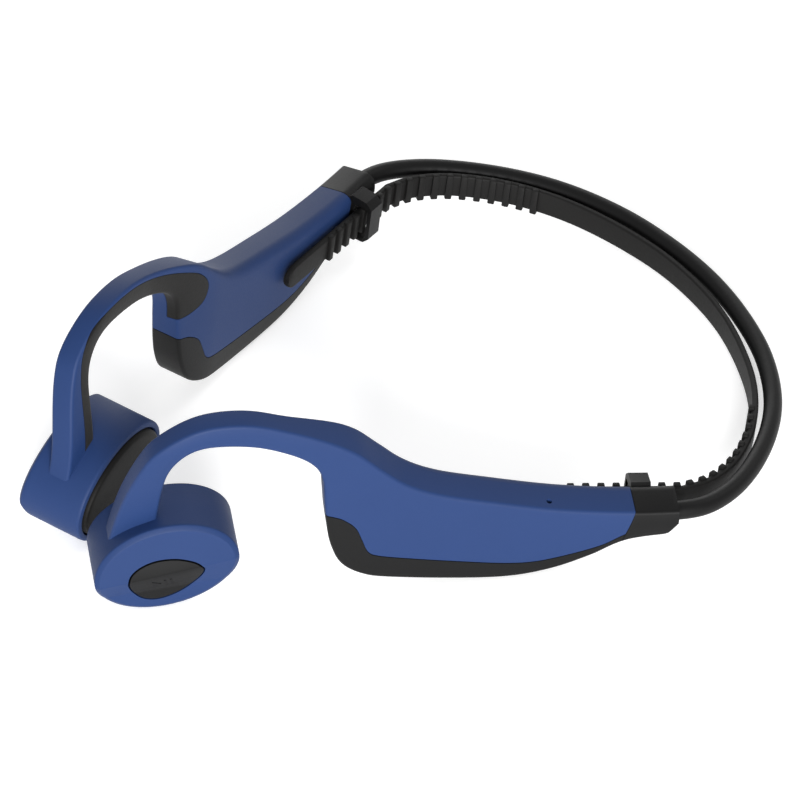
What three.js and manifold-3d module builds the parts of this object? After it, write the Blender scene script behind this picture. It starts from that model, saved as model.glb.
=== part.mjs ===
// Bone conduction headphones: two splayed arms that end in transducer pods, joined behind
// the head by a sprung round neckband, with a toothed tightening strap inside the loop.
// Millimetres, +Z up. The wearer faces -Y, the wearer's left is +X, and x = 0 is the
// mirror plane. Each side is first modelled as the left one and then mirrored.
import * as THREE from 'three';
import { mergeVertices } from 'three/addons/utils/BufferGeometryUtils.js';
import Module from 'manifold-3d';

const wasm = await Module();
wasm.setup();

// ---------------------------------------------------------------- driving dimensions
const deg = Math.PI / 180;
const GAP = 0.3;            // clearance between pieces that touch
const SPLAY = 24.5 * deg;   // each arm opens rearwards by this angle
const ARM_OUT = 45.2;       // distance of an arm's outer face from the frame axis
const LIE_PITCH = 7.2 * deg; // pods hang lower than the housings, so the set lies tipped back
const SEAT = [0, 1.4, 7.7]; // lifts the lowest point to z = 0 and centres the box

const HOOK_THICK = 4.8;     // ear hook, measured across the arm
const HOUSING_THICK = 8;    // battery and electronics housings
const HOUSING_LIFT = 1.7;   // top facet rises this much towards the inner edge
const HOOK_LIFT = 0.6;
const EDGE_ROUND = 0.8;
const LINER_SHARE = 0.42;   // soft liner's depth as a share of the arm's thickness
const WALL_SHARE = 0.19;    // shell wall as a share of the arm's thickness

const ARM_END = 38.1;       // rear end of the coloured shell along the arm
const KEEPER_END = 42.6;    // rear face of the strap's keeper
const BAND_X = -4;          // neckband axis within the collar, arm frame
const BAND_Z = 5.4;
const BAND_R = 1.85;
const BAND_BORE = 0.95;
const CORE_R = 0.6;

const STRAP_THICK = 1.3;
const STRAP_LOW = 1.4;      // lower and upper edge of the strap
const STRAP_HIGH = 6.6;
const STRAP_X = -9;         // outer face of the strap's tail, arm frame
const RIB_PITCH = 3;
const RIB_WIDE = 1.4;
const RIB_OUT = 0.65;       // rib height on the strap's inner face
const RIB_OVER = 0.3;       // rib overhang past the strap's edges
const SIDE_RIBS = 11;       // ribs on the curved part, the first this many pitches along
const FIRST_RIB = 0.6;
const FLEX = [13, 72.35];   // neckband flex axis in plan

const POD = { s: -51.2, z: -5, half: 14.2, halfHigh: 10, tilt: 20 * deg, deep: 14 };
const POD_WALL = 1.3;
const POD_FLOOR = -2.6;     // inner side of the pod's outer wall
const PAD_FACE = -15;
const BUTTON_TRAVEL = 0.5;

// ---------------------------------------------------------------- solids and frames
function solid(geometry) {
  const bare = geometry.clone();
  bare.deleteAttribute('normal');
  bare.deleteAttribute('uv');
  const merged = mergeVertices(bare, 1e-5);
  return new wasm.Manifold(new wasm.Mesh({
    numProp: 3,
    vertProperties: new Float32Array(merged.attributes.position.array),
    triVerts: new Uint32Array(merged.index.array),
  }));
}

function geometryOf(body) {
  const mesh = body.getMesh();
  const geometry = new THREE.BufferGeometry();
  geometry.setAttribute('position', new THREE.BufferAttribute(mesh.vertProperties, 3));
  geometry.setIndex(new THREE.BufferAttribute(mesh.triVerts, 1));
  return geometry;
}

// Arm frame: x outwards from the arm's outer face, y rearwards along the arm, z up.
const armFrame = new THREE.Matrix4()
  .makeRotationZ(-SPLAY)
  .multiply(new THREE.Matrix4().makeTranslation(ARM_OUT, 0, 0));

const alongX = new THREE.Matrix4().makeBasis(
  new THREE.Vector3(0, 1, 0), new THREE.Vector3(0, 0, 1), new THREE.Vector3(1, 0, 0));
const alongY = new THREE.Matrix4().makeBasis(
  new THREE.Vector3(0, 0, 1), new THREE.Vector3(1, 0, 0), new THREE.Vector3(0, 1, 0));

function toArm(geometry) {
  return solid(geometry.applyMatrix4(armFrame));
}

function vectors(pairs) {
  return pairs.map(([a, b]) => new THREE.Vector2(a, b));
}

// A side outline in (y, z) given a thickness from x0 to x1.
function sideGeometry(shape, x0, x1, curveSegments = 3) {
  const geometry = new THREE.ExtrudeGeometry(shape, {
    depth: x1 - x0, bevelEnabled: false, curveSegments,
  });
  return geometry.applyMatrix4(alongX).translate(x0, 0, 0);
}

// The same, with the outline drawn in by a clearance.
function inset(shape, by, x0, x1) {
  const geometry = new THREE.ExtrudeGeometry(shape, {
    depth: x1 - x0, bevelEnabled: true, bevelThickness: 0.01, bevelSize: 0,
    bevelOffset: -by, bevelSegments: 1, curveSegments: 2,
  });
  return geometry.applyMatrix4(alongX).translate(x0, 0, 0);
}

function box(x0, x1, y0, y1, z0, z1) {
  return new THREE.BoxGeometry(x1 - x0, y1 - y0, z1 - z0)
    .translate((x0 + x1) / 2, (y0 + y1) / 2, (z0 + z1) / 2);
}

function rod(radius, y0, y1, x, z, sides = 16) {
  return new THREE.CylinderGeometry(radius, radius, y1 - y0, sides)
    .translate(0, (y0 + y1) / 2, 0).translate(x, 0, z);
}

// Pill outline in plan, extruded upwards.
function pill(long, wide, z0, z1, x, y) {
  const r = wide / 2;
  const shape = new THREE.Shape();
  shape.absarc(0, long / 2 - r, r, 0, Math.PI);
  shape.absarc(0, r - long / 2, r, Math.PI, 2 * Math.PI);
  const geometry = new THREE.ExtrudeGeometry(shape, {
    depth: z1 - z0, bevelEnabled: false, curveSegments: 4,
  });
  return geometry.translate(x, y, z0);
}

// ---------------------------------------------------------------- the arm's form
const crown = [
  [-62.4, -1], [-60.4, 11], [-58.1, 19.2], [-55.6, 23.6], [-50.6, 27.7], [-45.2, 29.8],
  [-38, 30.2], [-30, 28.4], [-22.5, 25.8], [-17, 23], [-11.8, 18.9], [-6.5, 15.3],
  [0, 12.9], [10, 11], [24, 8.9], [ARM_END, 8.1],
];
const belly = [
  [ARM_END, 1.3], [31, -2.5], [24, -5.6], [16, -7.5], [6, -7.9], [-8, -7.4],
  [-13.5, -6.4], [-17.6, -3.9], [-20, 0.4], [-21.4, 5.5], [-22.4, 11.5], [-23.2, 16.5],
  [-25, 19.9], [-29, 22.5], [-36, 24.7], [-43, 25.1], [-47.8, 24.2], [-51, 21.6],
  [-52.9, 17.5], [-53.5, 11], [-53.6, -1],
];

function ramp(value, from, to) {
  const t = THREE.MathUtils.clamp((value - from) / (to - from), 0, 1);
  return t * t * (3 - 2 * t);
}

// Gives a flat outline of unit thickness the arm's real thickness: thin at the hook,
// thick at the housing, with the top facet rising inwards and the strut leaning inwards.
function shapeArm(geometry) {
  const position = geometry.attributes.position;
  for (let i = 0; i < position.count; i += 1) {
    const inward = 1 - position.getX(i);
    const y = position.getY(i);
    const z = position.getZ(i);
    const housing = ramp(y, -34, -10);
    const thick = THREE.MathUtils.lerp(HOOK_THICK, HOUSING_THICK, housing);
    const lift = THREE.MathUtils.lerp(HOOK_LIFT, HOUSING_LIFT, housing) * ramp(z, -7, 8);
    const lean = -4.2 * ramp(z, 26, 0) * ramp(y, -40, -50);
    position.setXYZ(i, lean - inward * thick, y, z + inward * lift);
  }
  return geometry;
}

// A piece of the arm between two shares of its thickness, 0 inside and 1 outside.
function armForm(shape, share0, share1, { round = 0, grow = 0, curveSegments = 2 } = {}) {
  const bevel = round > 0 ? 0.12 : 0.001;
  const geometry = new THREE.ExtrudeGeometry(shape, {
    depth: share1 - share0 - 2 * bevel, bevelEnabled: true, bevelThickness: bevel,
    bevelSize: round, bevelOffset: grow - round, bevelSegments: 1, curveSegments,
  });
  geometry.applyMatrix4(alongX).translate(share0 + bevel, 0, 0);
  return toArm(shapeArm(geometry));
}

const armOutline = new THREE.Shape();
armOutline.moveTo(crown[0][0], crown[0][1]);
armOutline.splineThru(vectors(crown.slice(1)));
armOutline.lineTo(belly[0][0], belly[0][1]);
armOutline.splineThru(vectors(belly.slice(1)));

// Seam between the coloured upper shell and the black lower shell, front to rear.
const seam = [
  [-30, 9.4], [-20.6, 8], [-17.6, 6.8], [-15.6, 5], [-14.2, 2.2], [-12.8, -0.6],
  [-10.6, -1.7], [-4, -2.5], [5, -3.3], [14, -3.9], [20, -3.6], [26, -2.1], [32.5, 0.2],
  [36.4, 2.6], [ARM_END + 4, 6],
];

function belowSeam(offset) {
  const shape = new THREE.Shape(vectors(seam.map(([y, z]) => [y, z + offset])));
  shape.lineTo(ARM_END + 4, -40);
  shape.lineTo(seam[0][0], -40);
  return shape;
}

const cavityOutline = new THREE.Shape(vectors([
  [-17.6, 14.6], [-11.5, 14.6], [-6, 11.3], [1, 9.3], [12, 7.7], [24, 6.2], [33.5, 5.6],
  [33.5, 2], [24, -3.5], [14, -5.7], [-8, -5.7], [-14, -4.2], [-17.6, 1], [-18.8, 6.5],
]));

// The soft liner on the inner side of the hook, ending in an oval patch on the housing.
const linerOutline = new THREE.Shape();
linerOutline.moveTo(-57, -1);
linerOutline.splineThru(vectors([
  [-56.6, 11], [-56, 18.5], [-54.4, 24], [-50.6, 27.6], [-45, 29.3], [-37.5, 29.3],
  [-29.5, 27.2], [-23, 24.4], [-17.4, 21], [-14.6, 17], [-15.6, 13.4], [-19.5, 12.2],
  [-24, 12.6],
]));
linerOutline.lineTo(-24, 16);
linerOutline.lineTo(-49, 16);
linerOutline.lineTo(-49, -1);

// ---------------------------------------------------------------- pods
const podFrame = new THREE.Matrix4()
  .makeTranslation(0, POD.s, POD.z)
  .multiply(new THREE.Matrix4().makeRotationX(POD.tilt));

function toPod(geometry) {
  return toArm(geometry.applyMatrix4(podFrame));
}

function ellipse(shrink) {
  const shape = new THREE.Shape();
  shape.absellipse(0, 0, POD.half - shrink, POD.halfHigh - shrink, 0, 2 * Math.PI);
  return shape;
}

function ovalBlock(shrink, x0, x1, round = 0) {
  const geometry = new THREE.ExtrudeGeometry(ellipse(shrink), {
    depth: x1 - x0 - 2 * round, bevelEnabled: round > 0, bevelThickness: round,
    bevelSize: round, bevelOffset: -round, bevelSegments: 1, curveSegments: 14,
  });
  return geometry.applyMatrix4(alongX).translate(x0 + round, 0, 0);
}

// The pod's outer face is a shallow roof with its ridge along the long axis.
function roof(raise) {
  const shape = new THREE.Shape(vectors([
    [12, -0.75 + raise], [-0.9, 0.6 + raise], [-4.9, -1.6 + raise], [-12, -1.9 + raise],
    [-12, -22], [12, -22],
  ]));
  const geometry = new THREE.ExtrudeGeometry(shape, { depth: 36, bevelEnabled: false });
  return geometry.translate(0, 0, -18).applyMatrix4(alongY);
}

// Drop outline: round at the front, drawn to a blunt tip towards the ear.
const dropOutline = new THREE.Shape();
dropOutline.moveTo(5.3, 0.9);
dropOutline.splineThru(vectors([
  [6.5, -0.6], [6.6, -1.8], [5.3, -3.4], [2.6, -5.1], [-0.6, -6], [-3.6, -6.05],
  [-5.9, -5.1], [-7.2, -3.4], [-7.7, -1.4], [-7.5, 0.3], [-6.4, 1.9], [-4.1, 3],
  [-1.1, 3.3], [2.4, 2.6], [5.3, 0.9],
]));

function dropBlock(grow, x0, x1) {
  return inset(dropOutline, -grow, x0, x1);
}

function disc(radius, x0, x1, sides = 20) {
  return new THREE.CylinderGeometry(radius, radius, x1 - x0, sides)
    .rotateZ(-Math.PI / 2).translate((x0 + x1) / 2, 0, 0);
}

// ---------------------------------------------------------------- one side's pieces
function sidePieces() {
  const whole = armForm(armOutline, 0, 1, { round: EDGE_ROUND });
  const cavity = armForm(cavityOutline, WALL_SHARE, 1 - WALL_SHARE);
  const podGrown = toPod(ovalBlock(-GAP, -POD.deep - GAP, 1));
  const trimmed = whole.subtract(podGrown);

  const layer = armForm(armOutline, -1, LINER_SHARE, { grow: 1 });
  const layerInside = layer.translate([-GAP * Math.cos(SPLAY), GAP * Math.sin(SPLAY), 0]);
  const linerSpace = layer.intersect(toArm(sideGeometry(linerOutline, -40, 20, 2)));
  const linerBody = layerInside.intersect(toArm(inset(linerOutline, GAP, -40, 20)));
  const wire = toArm(rod(0.95, 30, ARM_END + 5, BAND_X, BAND_Z, 12));
  const peg = toArm(box(-8.1, -5.3, -59.6, -56.2, 0.6, 8));
  const pegHole = toArm(box(-8.4, -5, -59.9, -55.9, 0, 9));

  const lowerGrown = toArm(sideGeometry(belowSeam(GAP / 2), -40, 20));
  const lower = toArm(sideGeometry(belowSeam(-GAP / 2), -40, 20));
  const collarCut = toArm(box(-40, 20, 37.2, 60, -2, 4.4));

  const shell = trimmed.subtract(lowerGrown).subtract(cavity).subtract(linerSpace)
    .subtract(wire).add(peg);
  const lowerShell = trimmed.intersect(lower).subtract(cavity).subtract(collarCut);
  const liner = trimmed.intersect(linerBody).subtract(lowerGrown).subtract(pegHole);

  // Collar: closes the arm's rear end, grips the neckband and carries the strap keeper.
  const collarOutline = new THREE.Shape(vectors([
    [ARM_END + GAP, 1.5], [44.6, 2.9], [46.4, 4], [47.2, 6], [47.2, 8], [46.5, 8.6],
    [ARM_END + GAP, 8.2],
  ]));
  const collarBlock = armForm(collarOutline, 0, 1, { round: EDGE_ROUND });
  const keeper = toArm(box(-12.6, -6.8, ARM_END + GAP, KEEPER_END, -0.7, 9.4))
    .subtract(toArm(box(-11.75, -8.55, 36, 46, -0.05, 7.4)));
  const bore = toArm(rod(BAND_R + GAP, 41.2, 50, BAND_X, BAND_Z, 20));
  const collar = collarBlock.add(keeper).subtract(bore).subtract(wire);

  // Pod shell: an oval cup, open towards the head.
  const podBlock = toPod(ovalBlock(0, -POD.deep, 1.4, 0.7)).intersect(toPod(roof(0)));
  const podHollow = toPod(ovalBlock(POD_WALL, -POD.deep - 1, POD_FLOOR));
  const podShell = podBlock.subtract(podHollow).subtract(pegHole)
    .subtract(toPod(dropBlock(0.3, -8, 3)));
  const pad = toPod(ovalBlock(POD_WALL + 0.35, PAD_FACE, -12.7, 0.6));
  const spring = toPod(disc(6.6, -12.35, -11.95)).subtract(toPod(disc(1.6, -13, -11, 16)));
  const yoke = toPod(disc(6.2, -11.5, -7.2)).subtract(toPod(disc(5.2, -12, -8.2)));
  const magnet = toPod(disc(3.2, -10.9, -8.5));
  const coil = toPod(disc(4.8, -11.3, -9)).subtract(toPod(disc(3.6, -12, -8)));

  return {
    arm_shell: shell, lower_shell: lowerShell, hook_liner: liner, collar,
    pod_shell: podShell, pad, spring_plate: spring, yoke, magnet, voice_coil: coil,
  };
}

function dropCap(depth) {
  const cap = toPod(dropBlock(0, POD_FLOOR - GAP, 3)).intersect(toPod(roof(0.1)));
  const flange = toPod(dropBlock(0.8, POD_FLOOR - GAP - depth, POD_FLOOR - GAP));
  return cap.add(flange);
}

// ---------------------------------------------------------------- neckband and strap
// Level curve through the left side's points and their mirror images.
function planCurve(points, z) {
  const left = points.map(([x, y]) => new THREE.Vector3(x, y, z));
  const rightSide = left.slice(0, -1).reverse().map((p) => new THREE.Vector3(-p.x, p.y, z));
  return new THREE.CatmullRomCurve3([...left, ...rightSide]);
}

function armPoint(x, y) {
  const point = new THREE.Vector3(x, y, 0).applyMatrix4(armFrame);
  return [point.x, point.y];
}

// Stretch of a longer curve between two fractions of its length.
class Stretch extends THREE.Curve {
  constructor(curve, from, to) {
    super();
    this.curve = curve;
    this.from = from;
    this.to = to;
  }

  getPoint(t, target = new THREE.Vector3()) {
    return this.curve.getPointAt(this.from + t * (this.to - this.from), target);
  }
}

// Sweeps a section along a level curve. The section's x lies level, across the curve.
function sweep(shape, curve, steps, curveSegments = 4) {
  const geometry = new THREE.ExtrudeGeometry(shape, {
    depth: 1, steps, bevelEnabled: false, curveSegments,
  });
  const position = geometry.attributes.position;
  const up = new THREE.Vector3(0, 0, 1);
  for (let i = 0; i < position.count; i += 1) {
    const t = position.getZ(i);
    const tangent = curve.getTangent(THREE.MathUtils.clamp(t, 0, 1)).setZ(0).normalize();
    const across = new THREE.Vector3().crossVectors(up, tangent);
    const point = curve.getPoint(t).addScaledVector(across, position.getX(i));
    position.setXYZ(i, point.x, point.y, point.z + position.getY(i));
  }
  return geometry;
}

function roundSection(radius, bore) {
  const shape = new THREE.Shape();
  shape.absarc(0, 0, radius, 0, 2 * Math.PI);
  if (bore > 0) {
    const hole = new THREE.Path();
    hole.absarc(0, 0, bore, 0, 2 * Math.PI, true);
    shape.holes.push(hole);
  }
  return shape;
}

function stripSection(wide, low, high) {
  return new THREE.Shape(vectors([
    [-wide / 2, low], [wide / 2, low], [wide / 2, high], [-wide / 2, high],
  ]));
}

const bandPath = planCurve([
  armPoint(BAND_X, 41.6), armPoint(BAND_X, 47.6), [58.3, 32.4], [56, 41], [48.8, 52.2],
  [38.7, 61.9], [26, 68.8], FLEX, [0, 73.6],
], BAND_Z);
const strapPath = planCurve([
  armPoint(STRAP_X - STRAP_THICK / 2, 49.6), [53.1, 36.4], [50.9, 43.4], [46.2, 50.4],
  [39.6, 56.8], [29.6, 63], [FLEX[0], 68.6], [0, 69.9],
], 0);

// Fraction along a curve where its rear part crosses the given x.
function fractionAtX(curve, x) {
  let low = 0.3;
  let high = 0.7;
  for (let i = 0; i < 30; i += 1) {
    const middle = (low + high) / 2;
    if (curve.getPointAt(middle).x > x) {
      low = middle;
    } else {
      high = middle;
    }
  }
  return low;
}

const FLEX_GAP = 0.8;       // half the space left at each flex axis
const bandSide = new Stretch(bandPath, 0, fractionAtX(bandPath, FLEX[0] + FLEX_GAP));
const bandMiddle = new Stretch(bandPath, fractionAtX(bandPath, FLEX[0] - FLEX_GAP),
  fractionAtX(bandPath, FLEX_GAP - FLEX[0]));
const strapSide = new Stretch(strapPath, 0, fractionAtX(strapPath, FLEX[0] + FLEX_GAP));
const strapMiddle = new Stretch(strapPath, fractionAtX(strapPath, FLEX[0] - FLEX_GAP),
  fractionAtX(strapPath, FLEX_GAP - FLEX[0]));

function mirrored(geometry) {
  const copy = geometry.clone().scale(-1, 1, 1);
  const index = copy.index.array;
  for (let i = 0; i < index.length; i += 3) {
    [index[i], index[i + 1]] = [index[i + 1], index[i]];
  }
  return copy;
}

function mirroredSolid(body) {
  return solid(mirrored(geometryOf(body)));
}

function ribBlock(x, y) {
  return box(x - RIB_OUT, x + 0.2, y - RIB_WIDE / 2, y + RIB_WIDE / 2,
    STRAP_LOW - RIB_OVER, STRAP_HIGH + RIB_OVER);
}

function strapTail() {
  const outline = new THREE.Shape();
  const middle = (STRAP_LOW + STRAP_HIGH) / 2;
  const r = (STRAP_HIGH - STRAP_LOW) / 2;
  outline.moveTo(49.2, STRAP_LOW);
  outline.lineTo(49.2, STRAP_HIGH);
  outline.lineTo(15, STRAP_HIGH);
  outline.absarc(15, middle, r, Math.PI / 2, 1.5 * Math.PI);
  let tail = toArm(sideGeometry(outline, STRAP_X - STRAP_THICK, STRAP_X, 6));
  for (let y = 27.6; y < 49; y += RIB_PITCH) {
    tail = tail.add(toArm(ribBlock(STRAP_X - STRAP_THICK, y)));
  }
  return tail;
}

function strapSidePiece() {
  let side = solid(sweep(stripSection(STRAP_THICK, STRAP_LOW, STRAP_HIGH), strapSide, 14));
  const length = strapSide.curve.getLength() * strapSide.to;
  for (let i = 0; i < SIDE_RIBS; i += 1) {
    const t = (RIB_PITCH * (i + FIRST_RIB)) / length;
    const point = strapSide.getPoint(t);
    const tangent = strapSide.getTangent(t);
    const turn = Math.atan2(-tangent.x, tangent.y);
    const rib = ribBlock(-STRAP_THICK / 2, 0).rotateZ(turn).translate(point.x, point.y, 0);
    side = side.add(solid(rib));
  }
  return side;
}

// ---------------------------------------------------------------- looks
const colours = {
  blue: { color: 0x3e5694, roughness: 0.62, metalness: 0 },
  black: { color: 0x2b2c2e, roughness: 0.6, metalness: 0 },
  rubber: { color: 0x262728, roughness: 0.75, metalness: 0 },
  steel: { color: 0xb6b8bb, roughness: 0.35, metalness: 1 },
  copper: { color: 0xb8703a, roughness: 0.4, metalness: 1 },
  board: { color: 0x1d5a34, roughness: 0.55, metalness: 0 },
  foil: { color: 0xc9cbce, roughness: 0.5, metalness: 0.8 },
};

const set = new THREE.Group();
set.rotation.x = -LIE_PITCH;
set.position.set(...SEAT);

function place(name, body, look) {
  const geometry = body.isBufferGeometry ? body : geometryOf(body);
  const mesh = new THREE.Mesh(geometry, new THREE.MeshStandardMaterial(colours[look]));
  mesh.name = name;
  set.add(mesh);
}

// ---------------------------------------------------------------- the left side
const lookOf = {
  arm_shell: 'blue', lower_shell: 'black', hook_liner: 'rubber', collar: 'black',
  pod_shell: 'blue', pad: 'rubber', spring_plate: 'steel', yoke: 'steel', magnet: 'steel',
  voice_coil: 'copper',
};
const side = sidePieces();
const right = {};
for (const [piece, body] of Object.entries(side)) {
  right[piece] = mirroredSolid(body);
}

// Left housing: cell and microphone under its port.
const MIC_Y = 21.7;
side.arm_shell = side.arm_shell.subtract(
  toArm(new THREE.CylinderGeometry(0.6, 0.6, 8, 12).rotateX(Math.PI / 2)
    .translate(BAND_X, MIC_Y, 9)));
place('battery', toArm(box(-5.8, -2.1, -9, 12.5, -4.8, 5.8)), 'foil');
place('mic_capsule', toArm(new THREE.CylinderGeometry(1.9, 1.9, 1.6, 20)
  .rotateX(Math.PI / 2).translate(BAND_X, MIC_Y, 5.2)), 'steel');

// Left pod: play and pause button over its switch.
const buttonFlange = 0.6;
place('play_pause_button', dropCap(buttonFlange), 'black');
const switchTop = POD_FLOOR - GAP - buttonFlange - BUTTON_TRAVEL - GAP;
place('play_switch', toPod(box(switchTop - 1, switchTop, -1.6, 1.6, -1.6, 1.6)), 'steel');
place('play_switch_board',
  toPod(box(switchTop - 2, switchTop - 1 - GAP, -5, 5, -3.4, 3.4)), 'board');

// ---------------------------------------------------------------- the right side
// Underside controls sit in the lower shell: charging socket, then two volume buttons.
const SOCKET_Y = -5.2;
const VOLUME_Y = [3.4, 10.4];
const CENTRE_X = BAND_X;
const BUTTON_TOP = -5.2;
let controls = toArm(pill(9, 3.4, -9, -3, CENTRE_X, SOCKET_Y))
  .add(toArm(box(CENTRE_X - 2.5, CENTRE_X + 2.5, -11.4, 0.4, -9, -6.6)));
for (const y of VOLUME_Y) {
  controls = controls.add(toArm(pill(5.6, 3, -9, -3, CENTRE_X, y)));
}
right.lower_shell = right.lower_shell.subtract(mirroredSolid(controls));

place('right_pod_inlay', mirroredSolid(dropCap(buttonFlange)), 'black');
['volume_up', 'volume_down'].forEach((name, i) => {
  const y = VOLUME_Y[i];
  const cap = toArm(pill(5, 2.4, -8.25, BUTTON_TOP, CENTRE_X, y))
    .add(toArm(pill(6.2, 3.6, BUTTON_TOP - 0.15, BUTTON_TOP + 0.45, CENTRE_X, y)));
  place(`${name}_button`, mirroredSolid(cap), 'black');
  const tact = toArm(box(CENTRE_X - 1.3, CENTRE_X + 1.3, y - 1.6, y + 1.6, -3.9, -2.9));
  place(`${name}_switch`, mirroredSolid(tact), 'steel');
});
const socket = toArm(pill(8.4, 2.8, -6.3, -1.4, CENTRE_X, SOCKET_Y))
  .subtract(toArm(pill(7.6, 2, -6.8, -2.2, CENTRE_X, SOCKET_Y)));
place('charge_socket', mirroredSolid(socket), 'steel');
place('charge_cover',
  mirroredSolid(toArm(box(CENTRE_X - 2.2, CENTRE_X + 2.2, -11.1, 0.1, -7.7, -6.7))), 'rubber');
place('main_board', mirroredSolid(toArm(box(-5.9, -2.1, -9.5, 13.5, -0.9, 0.1))
  .add(toArm(box(CENTRE_X - 0.5, CENTRE_X + 0.5, -9.5, 13.5, 0, 6.4)))), 'board');
place('radio_shield', mirroredSolid(toArm(box(-3.2, -1.9, -7, 3, 1.2, 6))), 'foil');

for (const [piece, body] of Object.entries(side)) {
  place(`left_${piece}`, body, lookOf[piece]);
  place(`right_${piece}`, right[piece], lookOf[piece]);
}

// ---------------------------------------------------------------- band and strap nodes
const sleeve = roundSection(BAND_R, BAND_BORE);
const core = roundSection(CORE_R, 0);
const coreSide = new Stretch(bandPath, 0.002, bandSide.to);
const parts = {
  band_sleeve: [solid(sweep(sleeve, bandSide, 18, 5)), 'rubber'],
  band_core: [solid(sweep(core, coreSide, 14, 3)), 'steel'],
  strap_side: [strapSidePiece(), 'rubber'],
  strap_tail: [strapTail(), 'rubber'],
};
for (const [piece, [body, look]] of Object.entries(parts)) {
  place(`left_${piece}`, body, look);
  place(`right_${piece}`, mirroredSolid(body), look);
}
place('band_sleeve_middle', solid(sweep(sleeve, bandMiddle, 4, 5)), 'rubber');
place('band_core_middle', solid(sweep(core, bandMiddle, 4, 3)), 'steel');
place('strap_middle', solid(sweep(stripSection(STRAP_THICK, STRAP_LOW, STRAP_HIGH),
  strapMiddle, 4)), 'rubber');

export default set;
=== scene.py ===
# Bone conduction headphones, lying on a pale floor. Forms are made in millimetres in the
# arm's own frame (x outwards from its outer face, y rearwards, z up), then placed in the row.
import math

import bpy
import bmesh
import numpy as np
from mathutils import Matrix, Vector


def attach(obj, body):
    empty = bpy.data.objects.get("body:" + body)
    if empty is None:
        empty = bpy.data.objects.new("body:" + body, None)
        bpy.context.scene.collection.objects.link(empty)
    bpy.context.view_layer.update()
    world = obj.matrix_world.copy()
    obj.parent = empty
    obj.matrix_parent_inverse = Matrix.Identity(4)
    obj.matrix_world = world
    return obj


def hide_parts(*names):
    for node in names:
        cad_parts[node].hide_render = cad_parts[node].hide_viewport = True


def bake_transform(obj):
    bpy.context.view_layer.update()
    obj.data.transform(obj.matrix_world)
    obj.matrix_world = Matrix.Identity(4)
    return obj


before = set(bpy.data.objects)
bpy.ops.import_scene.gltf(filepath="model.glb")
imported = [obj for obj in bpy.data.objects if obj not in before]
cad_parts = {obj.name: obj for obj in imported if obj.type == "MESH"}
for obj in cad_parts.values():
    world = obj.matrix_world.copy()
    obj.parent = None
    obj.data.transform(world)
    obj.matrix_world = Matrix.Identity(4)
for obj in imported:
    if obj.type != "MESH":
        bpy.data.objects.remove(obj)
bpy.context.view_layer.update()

# ------------------------------------------------------------------ dimensions, mm
SPLAY = math.radians(24.5)              # each arm's angle to the middle line, in plan
ARM_OUT = 45.2                          # from the loop's origin to the arm's outer face
LIE_PITCH = math.radians(7.2)           # its front is raised by this as it lies
SEAT = (0.0, 1.4, 7.7)                  # its origin's place over the floor
HOOK_THICK, HOUSING_THICK = 4.8, 8.0
HOOK_LIFT, HOUSING_LIFT = 0.6, 1.7      # how much higher the inner face is than the outer
HOOK_LEAN = 4.2                         # the hook's front leg leans in by this at its foot
THICKEN_Y = (-34, -10)                  # the hook thickens into the housing between these
LINER_SHARE = 0.42                      # of the hook's thickness
ARM_END = 38.1
BAND_X, BAND_Z, BAND_R = -4.0, 5.4, 1.85
BORE_R = 2.1
STRAP_THICK, STRAP_LOW, STRAP_HIGH, STRAP_X = 1.3, 1.4, 6.6, -9.0
STRAP_ROUND = 0.42
RIB_PITCH, RIB_WIDE, RIB_OUT, RIB_OVER = 3.0, 1.4, 0.65, 0.3
RIB_ROUND = 0.22
TAIL_RIBS = 15.0                        # first rib's distance from the strap's free end
END_STEPS = (0.02, 0.15, 0.4, 0.8, 1.3, 1.9)    # close sections round its free end
END_LENGTH = 2.2
TAIL_END = 34.6                         # where the sliding tail meets the link
LINK_END_X = 36                         # where the link meets the rear of the strap
POD_A, POD_B = 14.2, 10.0               # half its length and half its height
POD_AT = (0.0, -51.2, -5.0)
POD_TILT = math.radians(20)
POD_FLOOR_X = -12.6                     # bottom of the recess that holds the pad
RIM = 1.0
PAD_INSET = 1.7
HOLE_GAP, HOLE_X = 0.34, -3.7           # gap round the play button, floor under it
BUTTON_X, BUTTON_PROUD = -2.9, 0.08     # its underside, its top over the pod's face
MARK_SUNK, MARK_PROUD = 0.2, 0.06
SEAM_GAP = 0.09
LINER_GAP = 0.12
COLLAR_GAP = 0.1
CUT_X = (-40, 20)                       # cutting blocks reach past both faces of an arm
CUT_Z = 60

ROW = (Matrix.Diagonal((0.001, 0.001, 0.001, 1)) @ Matrix.Translation(SEAT)
       @ Matrix.Rotation(-LIE_PITCH, 4, "X"))
ARM = Matrix.Rotation(-SPLAY, 4, "Z") @ Matrix.Translation((ARM_OUT, 0, 0))
POD = Matrix.Translation(POD_AT) @ Matrix.Rotation(POD_TILT, 4, "X")
MIRROR = Matrix.Diagonal((-1, 1, 1, 1))
SIDES = ("left", "right")


# ------------------------------------------------------------------ curves and outlines
def ramp(value, start, end):
    """0 before start and 1 after end, with a smooth rise between them."""
    t = np.clip((np.asarray(value, float) - start) / (end - start), 0, 1)
    return t * t * (3 - 2 * t)


def spline_at(points, t):
    """Uniform spline through 2-D points at index positions t."""
    p = np.asarray(points, float)
    n = len(p) - 1
    t = np.clip(np.atleast_1d(t), 0, n)
    i = np.minimum(t.astype(int), n - 1)
    u = (t - i)[:, None]
    p0, p1, p2, p3 = p[np.maximum(i - 1, 0)], p[i], p[i + 1], p[np.minimum(i + 2, n)]
    v0, v1 = (p2 - p0) / 2, (p3 - p1) / 2
    return ((2 * p1 - 2 * p2 + v0 + v1) * u**3 + (-3 * p1 + 3 * p2 - 2 * v0 - v1) * u**2
            + v0 * u + p1)


def spline(points, per=8):
    n = len(points) - 1
    return spline_at(points, np.linspace(0, n, n * per + 1))


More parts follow.
